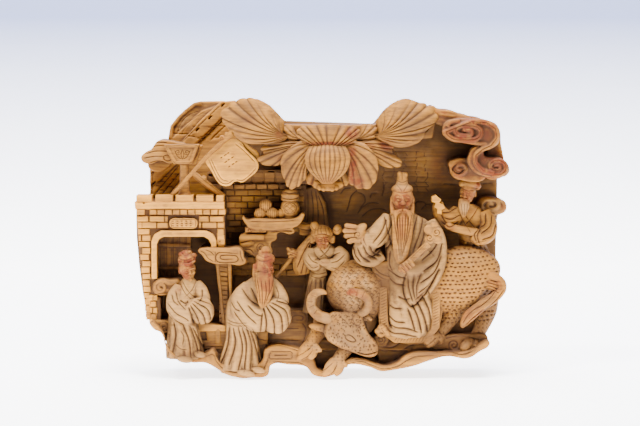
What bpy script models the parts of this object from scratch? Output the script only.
"""Carved wooden relief panel: a gate tower and town wall on the left, a rider on an ox with four
standing figures in front of it, and a lotus between two fluted leaves and a scrolled cloud above.

The whole panel is one block of wood with a flat back. Its origin is a point on that back, +Y points
out of the back and the carving faces -Y. Sizes are metres. Places in the composition are laid out in
drawn units on the carver's drawing, 372 wide, 279 high and 88 deep, which the named sizes scale.
"""

import math

import bmesh
import bpy
from mathutils import Matrix, Vector
from mathutils.geometry import normal

# Overall size of the block
PANEL_WIDTH = 0.372
PANEL_HEIGHT = 0.279
RELIEF_DEPTH = 0.088

# The drawing that the composition is laid out on
DRAWN_WIDTH = 372
DRAWN_HEIGHT = 279
DRAWN_DEPTH = 88
ACROSS = PANEL_WIDTH / DRAWN_WIDTH
UP = PANEL_HEIGHT / DRAWN_HEIGHT
INTO = RELIEF_DEPTH / DRAWN_DEPTH

# Layers of the carving, measured from the flat back to the face of each
BOARD_THICKNESS = 0.014
BITE = 0.006
RAMP_DEPTH = 0.025
WALL_DEPTH = 0.027
LEDGE_DEPTH = 0.036
SHELF_DEPTH = 0.056
TOWER_DEPTH = 0.060
DOOR_DEPTH = 0.034
PARAPET_DEPTH = 0.063
GROUND_DEPTH = 0.082
GROUND_SLOPE_DEPTH = 0.034
CANOPY_DEPTH = 0.052
LOW_CLOUD_DEPTH = 0.066
PLAQUE_DEPTH = 0.068
HIGH_CLOUD_DEPTH = 0.078
HIGH_CLOUD_THICKNESS = 0.016
CLOUD_ROOT_DEPTH = 0.070
CLOUD_SIDE_DEPTH = 0.068
LOWER_COIL_DEPTH = 0.066
FLAG_DEPTH = 0.066
FLAG_THICKNESS = 0.006
SIGN_DEPTH = 0.056
SIGN_THICKNESS = 0.012
SADDLE_CLOTH_DEPTH = 0.071
SADDLE_CLOTH_THICKNESS = 0.026

# Rods and posts
FLAGPOLE_RADIUS = 0.0020
CARRY_POLE_RADIUS = 0.0018
SCEPTRE_RADIUS = 0.0027
SIGN_POST_RADIUS = 0.0055

# Standing heights of the figures, hem to crown
ATTENDANT_HEIGHT = 0.106
ELDER_HEIGHT = 0.118
BOY_HEIGHT = 0.088
RIDER_HEIGHT = 0.166
FOLLOWER_HEIGHT = 0.092

# The ox, and the small things on the shelf
OX_LENGTH = 0.196
OX_DRAWN_LENGTH = 196
JAR_HEIGHT = 0.031
FRUIT_RADIUS = 0.0063

WOOD_COLOUR = (0.60, 0.42, 0.24, 1.0)
WOOD_ROUGHNESS = 0.62
SMOOTH_ANGLE = math.radians(40)

# What the joining step clears away
JOIN_CRUMB = 0.0005
FLAT_ANGLE = math.radians(2.5)


def spot(x, z, d):
    """A place on the panel, from drawn units across, up and forward of the back."""
    return Vector((x * ACROSS, -d * INTO, z * UP))


def standing(foot, height, drawn_height):
    """Places on a figure that grows from its foot, in drawn units of that figure."""
    base, share = spot(*foot), height / drawn_height

    def place(x, z, d=0.0):
        return base + Vector((x, -d, z)) * share

    return place, share


def new_form(name, bm):
    """A closed piece of the carving, kept as a helper that the union joins to the block."""
    bmesh.ops.recalc_face_normals(bm, faces=bm.faces)
    mesh = bpy.data.meshes.new(name)
    bm.to_mesh(mesh)
    bm.free()
    form = bpy.data.objects.new(name, mesh)
    form.display_type = "WIRE"
    form.hide_render = True
    bpy.data.collections["forms"].objects.link(form)
    return form


def as_mesh(curve_object):
    """A curve's evaluated solid as a bmesh with its caps welded, and the curve removed."""
    bpy.context.scene.collection.objects.link(curve_object)
    bpy.context.view_layer.update()
    graph = bpy.context.evaluated_depsgraph_get()
    mesh = bpy.data.meshes.new_from_object(curve_object.evaluated_get(graph))
    bm = bmesh.new()
    bm.from_mesh(mesh)
    bm.transform(curve_object.matrix_world)
    bmesh.ops.remove_doubles(bm, verts=bm.verts, dist=1e-6)
    bpy.data.objects.remove(curve_object)
    bpy.data.meshes.remove(mesh)
    return bm


def slab(name, outlines, back, front, smooth=0):
    """A flat board between two depths. Outlines are drawn across and up, and any after the first is a hole."""
    curve = bpy.data.curves.new(name, "CURVE")
    curve.dimensions = "2D"
    curve.fill_mode = "BOTH"
    curve.extrude = (front - back) / 2
    curve.resolution_u = max(smooth, 1)
    for outline in outlines:
        spline = curve.splines.new("BEZIER" if smooth else "POLY")
        points = spline.bezier_points if smooth else spline.points
        points.add(len(outline) - 1)
        for point, (x, z) in zip(points, outline):
            place = Vector((x * ACROSS, z * UP, 0.0))
            if smooth:
                point.co = place
                point.handle_left_type = point.handle_right_type = "AUTO"
            else:
                point.co = place.to_4d()
        spline.use_cyclic_u = True
    board = bpy.data.objects.new(name, curve)
    board.location = (0.0, -(back + front) / 2, 0.0)
    board.rotation_euler = (math.pi / 2, 0.0, 0.0)
    return new_form(name, as_mesh(board))


def rod(name, points, radius):
    """A round rod through the points."""
    curve = bpy.data.curves.new(name, "CURVE")
    curve.dimensions = "3D"
    curve.bevel_depth = radius
    curve.bevel_resolution = 1
    curve.use_fill_caps = True
    spline = curve.splines.new("POLY")
    spline.points.add(len(points) - 1)
    for point, place in zip(spline.points, points):
        point.co = place.to_4d()
    return new_form(name, as_mesh(bpy.data.objects.new(name, curve)))


def block(name, centre, size, turn=0.0):
    """A box, turned about the depth axis."""
    bm = bmesh.new()
    bmesh.ops.create_cube(bm, size=1.0)
    bm.transform(Matrix.Translation(centre) @ Matrix.Rotation(turn, 4, "Y") @ Matrix.Diagonal((*size, 1.0)))
    return new_form(name, bm)


def ball(name, centre, radii, tilt=0.0, segments=8, rings=5):
    """An egg-shaped form, tilted about the depth axis."""
    bm = bmesh.new()
    bmesh.ops.create_uvsphere(bm, u_segments=segments, v_segments=rings, radius=1.0)
    bm.transform(Matrix.Translation(centre) @ Matrix.Rotation(tilt, 4, "Y") @ Matrix.Diagonal((*radii, 1.0)))
    return new_form(name, bm)


def loft(name, rings):
    """A closed skin over rings that all have the same number of points."""
    bm = bmesh.new()
    made = [[bm.verts.new(point) for point in ring] for ring in rings]
    count = len(made[0])
    for near, far in zip(made, made[1:]):
        for i in range(count):
            bm.faces.new((near[i], near[(i + 1) % count], far[(i + 1) % count], far[i]))
    bm.faces.new(made[0])
    bm.faces.new(made[-1])
    return new_form(name, bm)


def level_ring(centre, half_width, half_depth, sides, fold=0.0):
    """A level oval. Every second point is drawn in by the share fold, which makes pleats."""
    ring = []
    for i in range(sides):
        angle = math.tau * (i + 0.5) / sides
        reach = 1.0 - fold * (i % 2)
        offset = Vector((half_width * math.cos(angle), -half_depth * math.sin(angle), 0.0))
        ring.append(centre + offset * reach)
    return ring


def robe(name, place, share, rings, sides=14):
    """A robed body, from the hem up. Each ring is x, z, half width, half depth, pleat and how far forward."""
    return loft(
        name,
        [
            level_ring(place(x, z, d), wide * share, deep * share, sides, fold)
            for x, z, wide, deep, fold, d in rings
        ],
    )


def limb(name, points, radii, sides=8, flat=1.0, fold=0.0):
    """A sleeve, leg, horn or tail: ovals square to a path, flat times as deep as they are wide."""
    rings = []
    for i, (centre, radius) in enumerate(zip(points, radii)):
        along = (points[min(i + 1, len(points) - 1)] - points[max(i - 1, 0)]).normalized()
        side = Vector((0.0, -1.0, 0.0)).cross(along).normalized()
        front = along.cross(side)
        ring = []
        for k in range(sides):
            angle = math.tau * (k + 0.5) / sides
            reach = radius * (1.0 - fold * (k % 2))
            ring.append(centre + (side * math.cos(angle) + front * (flat * math.sin(angle))) * reach)
        rings.append(ring)
    return loft(name, rings)


def leaf(name, spine, half_widths, flutes, thickness, crown, groove):
    """A fluted leaf or petal. Its face bulges by crown, and its flutes are groove deep and meet at the root."""
    rings = []
    widest = max(half_widths)
    for i, (centre, half) in enumerate(zip(spine, half_widths)):
        along = spine[min(i + 1, len(spine) - 1)] - spine[max(i - 1, 0)]
        across = Vector((-along.z, 0.0, along.x)).normalized()
        full = half / widest
        ring = []
        for k in range(2 * flutes + 1):
            share = k / flutes - 1.0
            rise = crown * full * (1.0 - share * share) - groove * full * (k % 2)
            ring.append(centre + across * (half * share) + Vector((0.0, -rise, 0.0)))
        for share in (0.8, -0.8):
            ring.append(centre + across * (half * share) + Vector((0.0, thickness, 0.0)))
        rings.append(ring)
    return loft(name, rings)


def round_box_outline(left, right, bottom, top, radius, steps=3):
    """A rectangle with rounded corners, counter-clockwise."""
    outline = []
    corners = ((right, top, 0.0), (left, top, 1.0), (left, bottom, 2.0), (right, bottom, 3.0))
    for x, z, quarter in corners:
        centre_x = x - radius if x == right else x + radius
        centre_z = z - radius if z == top else z + radius
        for k in range(steps + 1):
            angle = (quarter + k / steps) * math.pi / 2
            outline.append((centre_x + radius * math.cos(angle), centre_z + radius * math.sin(angle)))
    return outline


def make_board():
    """The block's back: flat behind, with the uneven outline of the whole panel."""
    outline = [
        (-185, 36), (-176, 40), (-176, 72), (-169, 88), (-158, 98), (-154, 110), (-143, 122), (-130, 133),
        (-110, 135), (-60, 133), (-48, 127), (-36, 112), (52, 112), (62, 124), (74, 132), (100, 132),
        (131, 127), (154, 118), (173, 105), (181, 86), (185, 60), (186, 20), (183, -26), (181, -66),
        (174, -88), (164, -110), (124, -117), (84, -125), (20, -128), (-40, -128), (-60, -132),
        (-94, -130), (-122, -121), (-150, -109), (-163, -93), (-175, -80), (-181, -50), (-184, -10),
    ]  # fmt: skip
    board = slab("carved_panel", [outline], 0.0, BOARD_THICKNESS)
    bpy.data.collections["forms"].objects.unlink(board)
    bpy.data.collections["carved panel"].objects.link(board)
    board.hide_render = False
    board.display_type = "TEXTURED"
    return board


def make_ground():
    """The rocky ledge at the foot, which every figure stands on, and the slope behind it."""
    ledge = [
        (-173, -84), (-160, -86), (-150, -94), (-143, -108), (-128, -116), (-116, -112), (-106, -111),
        (-103, -121), (-98, -127), (-62, -128), (-57, -122), (-54, -113), (-22, -113), (-6, -118),
        (18, -130),
        (24, -114), (60, -115), (72, -122), (82, -121), (88, -112), (96, -108), (118, -104), (140, -101),
        (160, -96), (168, -100), (168, -107), (159, -113), (147, -121), (126, -118), (107, -123),
        (92, -128),
        (74, -132), (60, -134), (50, -129), (26, -128), (14, -137), (-6, -138), (-14, -129), (-30, -127),
        (-49, -127), (-51, -137), (-68, -140), (-90, -138), (-104, -130), (-114, -125), (-128, -124),
        (-143, -118), (-153, -106), (-157, -95), (-166, -90),
    ]  # fmt: skip
    slab("ground_ledge", [ledge], BITE, GROUND_DEPTH)
    section = ((BITE / INTO, -78), (GROUND_SLOPE_DEPTH / INTO, -80), (0.72 * GROUND_DEPTH / INTO, -114),
               (BITE / INTO, -116))  # fmt: skip
    loft("ground_slope", [[spot(x, z, d) for d, z in section] for x in (-148, 158)])
    clouds = {
        "ground_cloud_right": [(104, -112), (106, -98), (120, -88), (140, -86), (160, -92),
                               (168, -100), (150, -118)],
        "ground_cloud_left": [(-166, -82), (-154, -80), (-146, -92), (-148, -112), (-155, -106),
                              (-164, -94)],
        "ground_cloud_behind_ox": [(50, -118), (54, -104), (66, -98), (78, -104), (80, -120), (64, -128)],
        "rock_behind_legs": [(128, -62), (160, -52), (177, -56), (175, -78), (164, -98), (130, -96)],
    }
    depths = (0.93, 0.85, 0.75, 0.5)
    for (name, outline), share in zip(clouds.items(), depths):
        slab(name, [outline], BITE, share * GROUND_DEPTH, smooth=2)


def make_tower():
    """The gate tower: a brick front with a round-cornered doorway, its parapet, pillar and door."""
    front = [
        (-184, 36), (-96, 36), (-95, 0), (-94, -30), (-90, -92), (-122, -104), (-148, -100), (-170, -84),
        (-177, -70), (-180, -46), (-182, -10),
    ]  # fmt: skip
    doorway = round_box_outline(-162.5, -108.5, -92, 0.5, 8)
    slab("tower_front", [front, doorway], BITE, TOWER_DEPTH)
    parapet = [
        (-185, 28), (-185, 36), (-183, 41), (-169, 41), (-168.5, 36), (-161.5, 36), (-161, 41),
        (-148.5, 41),
        (-148, 36), (-142.5, 36), (-142, 41), (-128, 41), (-127.5, 36), (-122, 36), (-121.5, 41),
        (-108.5, 41),
        (-108, 36), (-101.5, 36), (-101, 41), (-96.5, 41), (-95, 36), (-95, 28),
    ]  # fmt: skip
    slab("tower_parapet", [parapet], BITE, PARAPET_DEPTH)
    outer = round_box_outline(-168, -102.5, -41, 6.5, 11)
    inner = round_box_outline(-162.4, -108.6, -45, 0.4, 8)
    slab("door_frame", [outer[:8] + inner[:8][::-1]], 0.5 * TOWER_DEPTH, 1.04 * TOWER_DEPTH)
    plaque = round_box_outline(-150, -122, 8.5, 19, 4)
    slab("tower_plaque", [plaque], 0.5 * TOWER_DEPTH, 1.02 * TOWER_DEPTH)
    door = [(-165, 2), (-130, 2), (-130, -90), (-165, -90)]
    slab("plank_door", [door], BITE, DOOR_DEPTH)
    pillar = [(-105, -24), (-88, -24), (-88, -96), (-98, -96)]
    slab("tower_pillar", [pillar], BITE, 0.93 * TOWER_DEPTH)
    balustrade = [(-124, -90), (-97, -90), (-95, -110), (-120, -112)]
    slab("balustrade", [balustrade], BITE, 0.9 * TOWER_DEPTH)
    scroll = [(-178, -44), (-168, -39), (-152, -41), (-141, -42), (-142, -53), (-150, -57),
              (-166, -58), (-178, -55)]
    slab("tower_side_cloud", [scroll], BITE, LOW_CLOUD_DEPTH, smooth=2)


def make_walls():
    """The town wall between the tower and the ox, its crenellated top, and the ramp behind the sign."""
    wall = [(-97, 50), (-8, 50), (-8, -41), (-44, -41), (-48, -64), (-97, -64)]
    slab("brick_wall", [wall], BITE, WALL_DEPTH)
    ledge = [(-98, 50), (-12, 50), (-12, 45), (-98, 45)]
    slab("wall_ledge", [ledge], BITE, LEDGE_DEPTH)
    cope = [(-98, 64), (-12, 62), (-12, 51), (-98, 51)]
    slab("wall_cope", [cope], BITE, 0.9 * LEDGE_DEPTH)
    ramp = [(-172, 38), (-172, 66), (-96, 132), (-76, 132), (-76, 110), (-160, 38)]
    slab("ramp_wall", [ramp], BITE, RAMP_DEPTH)
    rail = [(-128, 58), (-122, 63), (-98, 46), (-97, 38), (-110, 40)]
    slab("ramp_rail", [rail], BITE, 0.8 * TOWER_DEPTH)
    rock = [(46, 40), (62, 50), (80, 46), (100, 40), (108, 22), (96, 8), (60, 0), (30, 4), (36, 24)]
    slab("rock_behind_rider", [rock], BITE, 1.05 * WALL_DEPTH, smooth=1)
    side_cloud = [(160, 36), (172, 39), (184, 34), (188, 27), (184, 22), (168, 19), (158, 22)]
    slab("cloud_behind_follower", [side_cloud], BITE, 1.3 * WALL_DEPTH, smooth=2)


def make_sign_and_flag():
    """A sign board on its post with an eave beside it, and a flag on a slanting pole."""
    board = [(-155, 91), (-121, 92), (-127, 73), (-146, 73)]
    slab("sign_board", [board], SIGN_DEPTH - SIGN_THICKNESS, SIGN_DEPTH)
    forward = (SIGN_DEPTH - SIGN_POST_RADIUS) / INTO
    rod("sign_post", [spot(-135, z, forward) for z in (34, 76)], SIGN_POST_RADIUS)
    eave = [
        (-180, 77), (-175, 84), (-169, 86), (-162, 95), (-152, 97), (-128, 93), (-132, 73), (-148, 72),
        (-160, 76), (-170, 73),
    ]  # fmt: skip
    slab("sign_eave", [eave], BITE, 0.8 * SIGN_DEPTH, smooth=1)
    flag = [
        (-113, 79), (-86, 101), (-76, 96), (-62, 82), (-61, 72), (-66, 62), (-76, 55), (-92, 50),
        (-102, 56),
        (-107, 66),
    ]  # fmt: skip
    slab("flag", [flag], FLAG_DEPTH - FLAG_THICKNESS, FLAG_DEPTH)
    pole = [(-148, 37, 58), (-113, 80, 65), (-84, 106, 67)]
    rod("flag_pole", [spot(*place) for place in pole], FLAGPOLE_RADIUS)
    bracket = [(-104, 74), (-84, 94), (-70, 84), (-80, 62)]
    slab("flag_back", [bracket], BITE, FLAG_DEPTH - 0.5 * FLAG_THICKNESS)


def make_shelf():
    """The cloud-shaped shelf on the wall, with three fruits and a lidded jar, and the clouds under it."""
    tray = [
        (-77, 20), (-72, 18), (-40, 17), (-22, 20), (-16, 24), (-15, 20), (-24, 9), (-30, 8),
        (-68, 9), (-73, 12),
    ]  # fmt: skip
    slab("shelf_tray", [tray], BITE, SHELF_DEPTH)
    bracket = [
        (-74, 8), (-26, 8), (-26, 3), (-42, 3), (-45, -3), (-52, -6), (-54, -26), (-64, -28), (-80, -24),
        (-79, -4), (-80, 1), (-74, 2),
    ]  # fmt: skip
    slab("shelf_bracket", [bracket], BITE, 0.86 * SHELF_DEPTH)
    plaque = [(-121, -13), (-109, -10), (-80, -11), (-75, -22), (-76, -27), (-107, -26), (-114, -21)]
    slab("cloud_plaque", [plaque], BITE, PLAQUE_DEPTH, smooth=2)
    for i, (x, z) in enumerate(((-60, 21.5), (-48, 22), (-54.5, 31))):
        forward = 0.8 * SHELF_DEPTH / INTO
        ball(f"fruit_{i + 1}", spot(x, z, forward), [FRUIT_RADIUS] * 3)
    profile = ((7, 0.0), (9.5, 0.45), (9.7, 0.62), (7, 0.72), (9.2, 0.78), (5, 0.95))
    rings = []
    for radius, share in profile:
        centre = spot(-30, 17, 0.75 * SHELF_DEPTH / INTO) + Vector((0.0, 0.0, share * JAR_HEIGHT))
        rings.append(level_ring(centre, radius * ACROSS, radius * ACROSS, 10))
    loft("jar", rings)
    thin_ledge = [(-46, -34), (-14, -33), (-8, -38), (-30, -41), (-44, -39)]
    slab("ledge_under_bundle", [thin_ledge], BITE, 1.5 * WALL_DEPTH)


def make_canopy():
    """The flat-topped beam, the lotus that hangs from it, the two great leaves and their buds."""
    beam = [(-62, 108), (-36, 112), (54, 112), (84, 122), (116, 118), (112, 98), (60, 94), (-40, 95),
            (-66, 98)]
    slab("canopy_beam", [beam], BITE, CANOPY_DEPTH)
    # Each leaf is its spine as across, up and forward, then half widths, flutes, thickness, crown and groove.
    leaves = {
        "leaf_left": (
            ((-33, 105, 60), (-46, 109, 66), (-61, 115, 70), (-79, 119, 70), (-92, 122, 66),
            (-100, 124, 60)),
            (5, 14, 22, 23, 16, 4), 6, 22, 9, 3,
        ),
        "leaf_right": (
            ((56, 102, 60), (67, 107, 67), (81, 112, 72), (97, 116, 72), (110, 121, 66), (117, 125, 60)),
            (5, 16, 24, 23, 14, 5), 6, 22, 9, 3,
        ),
        "petal_middle": (
            ((9, 95, 66), (9, 87, 76), (8.5, 75, 80), (8.5, 62, 80), (9, 53, 76)),
            (9, 17, 21, 17, 5), 6, 14, 7, 2.2,
        ),
        "petals_below": (
            ((9, 84, 62), (9, 72, 68), (9, 60, 70), (9, 50, 66)),
            (10, 18, 20, 13), 5, 16, 6, 3,
        ),
        "petal_left": (
            ((-8, 93, 64), (-22, 86, 72), (-30, 75, 75), (-30, 62, 74), (-26, 51, 70)),
            (3, 8, 10, 11, 7), 4, 12, 5, 2,
        ),
        "petal_right": (
            ((22, 93, 64), (36, 87, 72), (44, 75, 75), (44, 63, 74), (42, 52, 70)),
            (3, 9, 11, 12, 8), 4, 12, 5, 2,
        ),
        "petal_far_left": (
            ((-14, 94, 60), (-30, 91, 68), (-46, 84, 70), (-62, 79, 66)),
            (3, 9, 11, 5), 4, 12, 4, 2,
        ),
        "petal_far_right": (
            ((34, 94, 60), (50, 90, 68), (66, 82, 70), (80, 74, 66)),
            (3, 9, 11, 6), 4, 12, 4, 2,
        ),
        "lotus_calyx": (
            ((10, 94, 68), (10, 99, 75), (10, 106, 78), (10, 113, 72)),
            (24, 27, 29, 27), 7, 22, 3, 2,
        ),
        "bud_left": (
            ((-21, 101, 60), (-28, 105, 66), (-37, 105, 64)),
            (6, 8, 4), 3, 14, 4, 1.5,
        ),
        "bud_right": (
            ((40, 101, 60), (47, 105, 66), (56, 105, 64)),
            (5, 8, 5), 3, 14, 4, 1.5,
        ),
    }  # fmt: skip
    for name, (spine, halves, flutes, thick, crown, groove) in leaves.items():
        places = [spot(*point) for point in spine]
        half_widths = [half * ACROSS for half in halves]
        leaf(name, places, half_widths, flutes, thick * ACROSS, crown * ACROSS, groove * ACROSS)


def make_high_cloud():
    """The scrolled cloud at the upper right: a long coil, a neck, and a second coil below it."""
    scroll = [
        (121, 107), (123, 114), (131, 118), (148, 118), (168, 116), (176, 112), (177, 106), (179, 99),
        (176, 92),
        (168, 87), (163, 82), (168, 80), (180, 79), (188, 72), (188, 66), (184, 61), (170, 61), (157, 62),
        (149, 69), (145, 78), (149, 86), (151, 91), (139, 94), (127, 97), (122, 102),
    ]  # fmt: skip
    slab("cloud_scroll", [scroll], HIGH_CLOUD_DEPTH - HIGH_CLOUD_THICKNESS, HIGH_CLOUD_DEPTH, smooth=1)
    behind = [(129, 67), (135, 77), (147, 83), (160, 76), (166, 60), (150, 57), (138, 57), (131, 61)]
    slab("cloud_behind", [behind], BITE, LOWER_COIL_DEPTH, smooth=1)
    neck = [(106, 128), (122, 126), (146, 120), (160, 112), (146, 102), (118, 100), (108, 106)]
    slab("cloud_root", [neck], BITE, CLOUD_ROOT_DEPTH)
    hang = [(160, 110), (176, 96), (182, 70), (178, 56), (162, 60), (158, 90)]
    slab("cloud_side", [hang], BITE, CLOUD_SIDE_DEPTH)


def head(name, place, share, centre, radii, tilt=0.0):
    """A plain head: an egg-shaped skull with a nose."""
    x, z, d = centre
    wide, deep, tall = (radius * share for radius in radii)
    ball(f"{name}_head", place(x, z, d), (wide, deep, tall), tilt)
    nose = place(x - 0.12 * radii[2] * math.sin(tilt), z - 0.12 * radii[2], d + 0.92 * radii[1])
    block(f"{name}_nose", nose, (0.3 * wide, 0.4 * deep, 0.34 * tall), tilt)


def make_attendant():
    """The young man in a cap who bows at the gate with folded sleeves."""
    place, share = standing((-132, -118, 59), ATTENDANT_HEIGHT, 106)
    robe("attendant_robe", place, share, [
        (0, 0, 18, 13, 0.16, 0), (-2, 12, 16.5, 13, 0.14, 0), (-4, 30, 15, 13, 0.10, 1),
        (-5, 45, 15, 13, 0.04, 2),
        (-3, 60, 15, 12, 0.0, 2), (0, 71, 13.5, 10, 0.0, 3), (0, 79, 5, 6, 0.0, 5),
    ])  # fmt: skip
    limb("attendant_sleeve", [place(*p) for p in (
        (-11, 66, 4), (-12, 52, 8), (-4, 42, 14), (8, 43, 17), (19, 45, 17), (27, 46, 14),
    )], [r * share for r in (6, 9, 11, 14, 15, 7)], sides=10, flat=0.7, fold=0.1)  # fmt: skip
    limb("attendant_far_sleeve", [place(*p) for p in ((12, 68, 3), (18, 58, 8), (20, 48, 12))],
         [r * share for r in (5, 6, 8)], flat=0.8)  # fmt: skip
    head("attendant", place, share, (0, 85, 9), (8.2, 8, 10), 0.1)
    ball("attendant_cap", place(-0.5, 96.5, 8), (9.6 * share, 9 * share, 8.5 * share))
    block("attendant_cap_band", place(-0.5, 92, 8), (20 * share, 18 * share, 3 * share), 0.05)
    ball("attendant_shoe", place(4, -1, 10), (6 * share, 7 * share, 3.6 * share), 0.0, 6, 4)
    ball("attendant_far_shoe", place(15, 3, 9), (5 * share, 6 * share, 3.6 * share), 0.0, 6, 4)


def make_elder():
    """The bowing elder with the long beard and very wide sleeves."""
    place, share = standing((-80, -130, 63), ELDER_HEIGHT, 118)
    robe("elder_robe", place, share, [
        (0, 0, 22, 14, 0.18, 0), (2, 14, 20, 14, 0.16, 0), (2, 36, 16, 14, 0.12, 0),
        (4, 52, 17, 15, 0.04, 0),
        (12, 68, 20, 15, 0.0, 2), (19, 83, 18, 13, 0.0, 5), (24, 93, 13, 10, 0.0, 7),
        (26, 101, 5, 6, 0.0, 10),
    ])  # fmt: skip
    limb("elder_sleeve", [place(*p) for p in (
        (4, 82, 5), (4, 64, 8), (17, 52, 12), (30, 52, 13), (42, 53, 13), (50, 55, 11),
    )], [r * share for r in (8, 12, 13, 17, 18, 8)], sides=10, flat=0.62, fold=0.1)  # fmt: skip
    limb("elder_far_sleeve", [place(*p) for p in ((35, 85, 6), (43, 74, 11), (46, 62, 15))],
         [r * share for r in (6, 7, 9)], flat=0.8)  # fmt: skip
    head("elder", place, share, (25, 101, 14), (10.5, 10, 12), 0.12)
    ball("elder_knot", place(24, 114, 13), (5.5 * share, 5 * share, 4.5 * share), 0.0, 6, 4)
    limb("elder_beard", [place(*p) for p in ((25, 96, 18), (25, 84, 20), (26, 72, 20), (27, 61, 18))],
         [r * share for r in (9.5, 10, 7.5, 3)], sides=10, flat=0.45, fold=0.14)  # fmt: skip
    ball("elder_shoe", place(12, -1, 11), (9 * share, 8 * share, 3.4 * share), 0.0, 6, 4)
    ball("elder_far_shoe", place(19, 1, 9), (7 * share, 7 * share, 3.4 * share), 0.0, 6, 4)


def make_boy():
    """The boy behind the ox's head, with two hair buns and a carrying pole with its bundle."""
    place, share = standing((-2, -72, 38), BOY_HEIGHT, 88)
    robe("boy_robe", place, share, [
        (-2, -6, 13, 14, 0.14, -4), (1, 20, 11, 12, 0.12, -2), (4, 38, 10, 10, 0.05, 0),
        (6, 48, 13.5, 10, 0.0, 1),
        (7, 58, 14, 9, 0.0, 2), (7, 65, 10, 7, 0.0, 3), (8, 71, 4, 5, 0.0, 5),
    ], 12)  # fmt: skip
    limb("boy_sleeve", [place(*p) for p in ((20, 60, 4), (25, 50, 7), (19, 42, 10), (10, 44, 12))],
         [r * share for r in (6, 8, 8, 4)], flat=0.8, fold=0.08)  # fmt: skip
    limb("boy_far_sleeve", [place(*p) for p in ((-4, 60, 4), (-8, 52, 8), (-2, 46, 11), (5, 45, 12))],
         [r * share for r in (5, 6, 6, 4)], flat=0.8, fold=0.08)  # fmt: skip
    head("boy", place, share, (8, 77, 8), (9, 9, 11.5))
    for side, x in (("near", -0.5), ("far", 17.0)):
        ball(f"boy_bun_{side}", place(x, 84.5, 7), (4.2 * share, 4.2 * share, 4.6 * share), 0.0, 6, 5)
    rod("carrying_pole", [spot(-45, -43, 38), spot(-24, -19, 46), spot(-3, 6, 44)], CARRY_POLE_RADIUS)
    ball("carried_fist", spot(-26, -18, 46), (5.5 * ACROSS, 5 * ACROSS, 6 * ACROSS), 0.0, 8, 5)
    limb("carried_bundle", [spot(*p) for p in ((-6, 2, 42), (-14, -10, 42), (-18, -24, 40),
    (-17, -37, 37))],
         [r * ACROSS for r in (3, 6, 9, 8)], flat=0.7, fold=0.12)  # fmt: skip


def make_rider():
    """The rider, who sits sideways on the ox with a long beard, a sceptre and hanging sleeves."""
    place, share = standing((87, -99, 54), RIDER_HEIGHT, 166)
    robe("rider_robe", place, share, [
        (3, 2, 22, 17, 0.12, 5), (2, 20, 23, 18, 0.10, 6), (2, 42, 23, 19, 0.07, 8),
        (2, 56, 24, 21, 0.02, 9),
        (4, 66, 26, 19, 0.0, 7), (4, 90, 26, 16, 0.0, 4), (2, 106, 26, 14, 0.0, 3),
        (0, 116, 24, 12, 0.0, 3),
        (-3, 124, 12, 9, 0.0, 4), (-5, 131, 5, 6, 0.0, 6),
    ], 16)  # fmt: skip
    limb("rider_beard", [place(*p) for p in ((-5, 130, 15), (-5, 116, 19), (-5, 100, 22),
    (-6, 86, 23), (-7, 76, 22))],
         [r * share for r in (10, 12, 9.5, 7.5, 4)], sides=10, flat=0.4, fold=0.16)  # fmt: skip
    head("rider", place, share, (-5.5, 136, 11), (11.5, 10.5, 15))
    limb("rider_topknot", [place(*p) for p in ((-5, 148, 8), (-5, 156, 8), (-5, 166, 8))],
         [r * share for r in (5, 5.5, 3)], sides=6)  # fmt: skip
    limb("rider_raised_arm", [place(*p) for p in (
        (-23, 116, 6), (-31, 108, 11), (-42, 106, 15), (-53, 107, 17), (-62, 110, 16),
    )], [r * share for r in (8, 10, 9, 9, 4)], flat=0.8)  # fmt: skip
    limb("rider_raised_sleeve", [place(*p) for p in ((-38, 106, 14), (-38, 94, 15), (-38, 82, 15),
    (-37, 74, 14))],
         [r * share for r in (11, 16, 16, 11)], sides=10, flat=0.55, fold=0.12)  # fmt: skip
    limb("rider_arm", [place(*p) for p in ((22, 114, 6), (28, 98, 12), (27, 82, 20), (14, 72, 26),
    (1, 69, 28))],
         [r * share for r in (9, 11, 11, 8, 4)], flat=0.8)  # fmt: skip
    limb("rider_hanging_sleeve", [place(*p) for p in ((16, 82, 22), (14, 66, 26), (10, 50, 27),
    (7, 35, 26))],
         [r * share for r in (10, 13, 9, 3)], flat=0.5, fold=0.12)  # fmt: skip
    rod("sceptre", [place(-9, 66, 31), place(10, 82, 31), place(26, 98, 29)], SCEPTRE_RADIUS)
    for i, (x, z) in enumerate(((24, 111), (32, 108), (28, 100))):
        ball(f"sceptre_head_{i + 1}", place(x, z, 29), (6.5 * share, 4.5 * share, 6.5 * share), 0.0, 6, 4)
    cloth = [
        (54, -30), (60, -44), (114, -44), (119, -50), (119, -90), (114, -99), (105, -104), (72, -104),
        (66, -98),
        (56, -98), (53, -90), (59, -84), (59, -46), (50, -26),
    ]  # fmt: skip
    slab("saddle_cloth", [cloth], SADDLE_CLOTH_DEPTH - SADDLE_CLOTH_THICKNESS, SADDLE_CLOTH_DEPTH)


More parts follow.
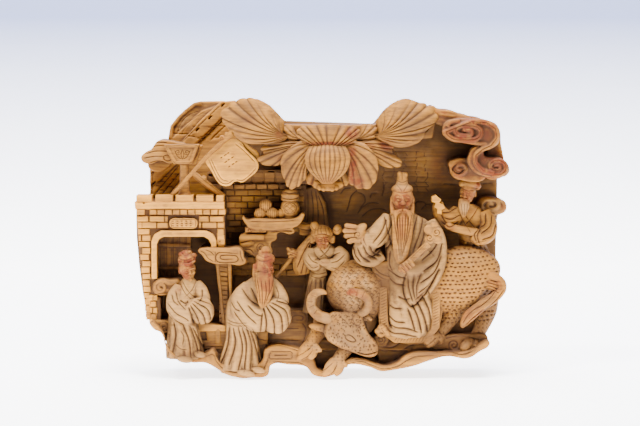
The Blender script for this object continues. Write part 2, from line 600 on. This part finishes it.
def make_follower():
    """The bearded man at the far right, with one sleeve raised."""
    place, share = standing((162, -36, 30), FOLLOWER_HEIGHT, 92)
    robe("follower_robe", place, share, [
        (2, -14, 16, 17, 0.12, -4), (3, 8, 16, 15, 0.12, -2), (1, 24, 16, 13, 0.10, 0),
        (-3, 36, 14, 12, 0.0, 1),
        (-7, 52, 14, 11, 0.0, 2), (-8, 63, 14, 10, 0.0, 3), (-10, 70, 8, 7, 0.0, 4),
        (-11, 76, 4, 5, 0.0, 5),
    ], 12)  # fmt: skip
    limb("follower_raised_sleeve", [place(*p) for p in ((-18, 62, 5), (-29, 57, 9), (-40, 62, 12),
    (-49, 71, 12))],
         [r * share for r in (7, 11, 12, 5)], flat=0.6, fold=0.1)  # fmt: skip
    limb("follower_sleeve", [place(*p) for p in ((5, 62, 3), (8, 50, 7), (2, 38, 11), (-8, 42, 14),
    (-24, 44, 16))],
         [r * share for r in (7, 10, 10, 4, 4)], flat=0.8)  # fmt: skip
    head("follower", place, share, (-12, 77, 8), (8.5, 8.5, 11), -0.08)
    ball("follower_cap", place(-12, 86, 6), (9 * share, 8 * share, 5 * share))
    for side, x in (("near", -20.5), ("far", -2.5)):
        ball(f"follower_knot_{side}", place(x, 86, 6), (3.4 * share, 3.4 * share, 3.4 * share), 0.0, 6, 4)
    limb("follower_beard", [place(*p) for p in ((-11, 71, 14), (-10, 64, 15), (-9, 58, 14))],
         [r * share for r in (5, 4.5, 2)], flat=0.5)  # fmt: skip


def make_ox():
    """The ox, which strides to the left and turns its lowered head to the front."""
    share = OX_LENGTH / OX_DRAWN_LENGTH
    middle = spot(90, -56, 50)

    def place(x, z, d=0.0):
        return middle + Vector((x, -d, z)) * share

    limb("ox_body", [place(*p) for p in (
        (-76, -2, 4), (-66, -4, 6), (-50, -4, 6), (-30, 0, 3), (0, 4, 0), (34, 11, 0), (58, 13, 0),
        (76, 10, -1),
        (88, 6, -4),
    )], [r * share for r in (22, 31, 34, 32, 30, 32, 33, 26, 10)], sides=12, flat=0.62)  # fmt: skip
    limb("ox_neck", [place(*p) for p in ((-50, -2, 8), (-66, -12, 16), (-74, -22, 21))],
         [r * share for r in (30, 23, 16)], sides=10, flat=0.75)  # fmt: skip
    limb("ox_head", [place(*p) for p in (
        (-88, -24, 20), (-79, -30, 24), (-64, -38, 27), (-49, -47, 28), (-37, -55, 27), (-29, -61, 26),
    )], [r * share for r in (9, 15, 16, 13, 10, 6)], sides=10, flat=0.72)  # fmt: skip
    horns = {
        "ox_horn_left": ((-84, -24, 26), (-95, -21, 31), (-101, -9, 34), (-99, 2, 34), (-92, 7, 32),
        (-85, 4, 31)),
        "ox_horn_right": ((-62, -21, 28), (-51, -22, 32), (-43, -13, 34), (-43, -3, 34), (-51, 3, 32),
        (-60, 2, 30)),
    }
    for name, points in horns.items():
        limb(name, [place(*p) for p in points], [r * share for r in (7, 7, 6.5, 5.5, 4.5, 2)], sides=7)
    for name, points in {
        "ox_ear_left": ((-84, -31, 24), (-94, -30, 27), (-101, -29, 28)),
        "ox_ear_right": ((-56, -30, 26), (-49, -30, 28), (-42, -25, 29)),
    }.items():
        limb(name, [place(*p) for p in points], [r * share for r in (4.5, 4.5, 1.5)], sides=6, flat=0.6)
    legs = {
        "ox_leg_fore_left": (((-70, -26, 8), (-84, -38, 16), (-94, -50, 22), (-101, -58, 25),
        (-107, -65, 26)),
                             (15, 10, 7.5, 7, 7)),
        "ox_leg_fore_right": (((-60, -32, 10), (-66, -50, 18), (-75, -64, 25), (-80, -72, 27),
        (-85, -80, 27)),
                              (14, 10, 7.5, 8, 8)),
        "ox_leg_hind_near": (((70, 0, 2), (83, -16, 8), (80, -30, 12), (70, -46, 15), (64, -56, 17),
        (59, -61, 17)),
                             (18, 9.5, 8.5, 7.5, 8, 6)),
        "ox_leg_hind_far": (((56, -12, -4), (48, -24, 0), (37, -38, 6), (27, -48, 10), (18, -55, 12)),
                            (12, 8, 6.5, 6.5, 7)),
    }  # fmt: skip
    for name, (points, radii) in legs.items():
        limb(name, [place(*p) for p in points], [r * share for r in radii], sides=8, flat=0.85)
    ball("ox_tail_root", place(78, 6, 2), (14 * share, 13 * share, 17 * share))
    tail = ((74, 17, 2), (84, 19, 6), (91, 12, 10), (89, 1, 14), (77, -9, 20), (64, -14, 24),
    (56, -23, 26),
            (51, -35, 25))  # fmt: skip
    limb("ox_tail", [place(*p) for p in tail], [r * share for r in (5, 5, 5.2, 5.2, 5.5, 6, 5.5, 2)], sides=6)


def keep_outer_skin(bm):
    """Removes the small shells, which are pockets sealed inside the wood."""
    shells = []
    waiting = set(bm.verts)
    while waiting:
        shell, edge = set(), {waiting.pop()}
        while edge:
            shell |= edge
            edge = {e.other_vert(v) for v in edge for e in v.link_edges} - shell
        waiting -= shell
        shells.append(shell)
    shells.sort(key=len)
    bmesh.ops.delete(bm, geom=[v for shell in shells[:-1] for v in shell], context="VERTS")


def drop_folded_slivers(bm):
    """Removes pairs of triangles that lie back to back, which the triangulation leaves along some joins."""
    for edge in [e for e in bm.edges if len(e.link_faces) > 2]:
        if not edge.is_valid:
            continue
        by_corners = {}
        for face in edge.link_faces:
            by_corners.setdefault(frozenset(face.verts), []).append(face)
        pairs = [face for twins in by_corners.values() if len(twins) == 2 for face in twins]
        if pairs:
            bmesh.ops.delete(bm, geom=pairs, context="FACES")


def turns_over(start, end):
    """Whether a face beside start would turn over if start moved to end."""
    for face in start.link_faces:
        if end in face.verts:
            continue
        now = normal([v.co for v in face.verts])
        then = normal([end.co if v == start else v.co for v in face.verts])
        if now.length > 0.5 and now.dot(then) < 0.0:
            return True
    return False


def weld_crumbs(bm):
    """Draws the ends of short edges together wherever the skin stays closed and no face turns over."""
    for edge in [e for e in bm.edges if e.calc_length() < JOIN_CRUMB]:
        if not edge.is_valid or len(edge.link_faces) != 2:
            continue
        start, end = edge.verts
        if not (start.is_manifold and end.is_manifold) or turns_over(start, end):
            continue
        shared = {e.other_vert(start) for e in start.link_edges} & {e.other_vert(end) for e in end.link_edges}
        if len(shared) == 2:
            bmesh.ops.weld_verts(bm, targetmap={start: end})


def carve(panel):
    """Joins every form to the board, keeps the outer skin alone and clears the crumbs along the joins."""
    union = panel.modifiers.new("one block", "BOOLEAN")
    union.operation = "UNION"
    union.solver = "EXACT"
    union.operand_type = "COLLECTION"
    union.collection = bpy.data.collections["forms"]
    bpy.context.view_layer.update()
    graph = bpy.context.evaluated_depsgraph_get()
    joined = bpy.data.meshes.new_from_object(panel.evaluated_get(graph))
    panel.modifiers.clear()
    for form in list(bpy.data.collections["forms"].objects):
        bpy.data.objects.remove(form)
    bm = bmesh.new()
    bm.from_mesh(joined)
    keep_outer_skin(bm)
    bmesh.ops.dissolve_limit(bm, angle_limit=FLAT_ANGLE, verts=bm.verts, edges=bm.edges)
    bmesh.ops.triangulate(bm, faces=bm.faces)
    drop_folded_slivers(bm)
    weld_crumbs(bm)
    bm.to_mesh(joined)
    bm.free()
    joined.shade_smooth()
    joined.set_sharp_from_angle(angle=SMOOTH_ANGLE)
    panel.data = joined


def wood():
    """Pale seasoned wood."""
    material = bpy.data.materials.new("carved wood")
    material.use_nodes = True
    shader = material.node_tree.nodes["Principled BSDF"]
    shader.inputs["Base Color"].default_value = WOOD_COLOUR
    shader.inputs["Roughness"].default_value = WOOD_ROUGHNESS
    shader.inputs["Metallic"].default_value = 0.0
    return material


def main():
    for obj in list(bpy.data.objects):
        bpy.data.objects.remove(obj)
    for name in ("carved panel", "forms"):
        bpy.context.scene.collection.children.link(bpy.data.collections.new(name))
    panel = make_board()
    make_ground()
    make_tower()
    make_walls()
    make_sign_and_flag()
    make_shelf()
    make_canopy()
    make_high_cloud()
    make_attendant()
    make_elder()
    make_boy()
    make_ox()
    make_rider()
    make_follower()
    carve(panel)
    panel.data.materials.append(wood())


main()
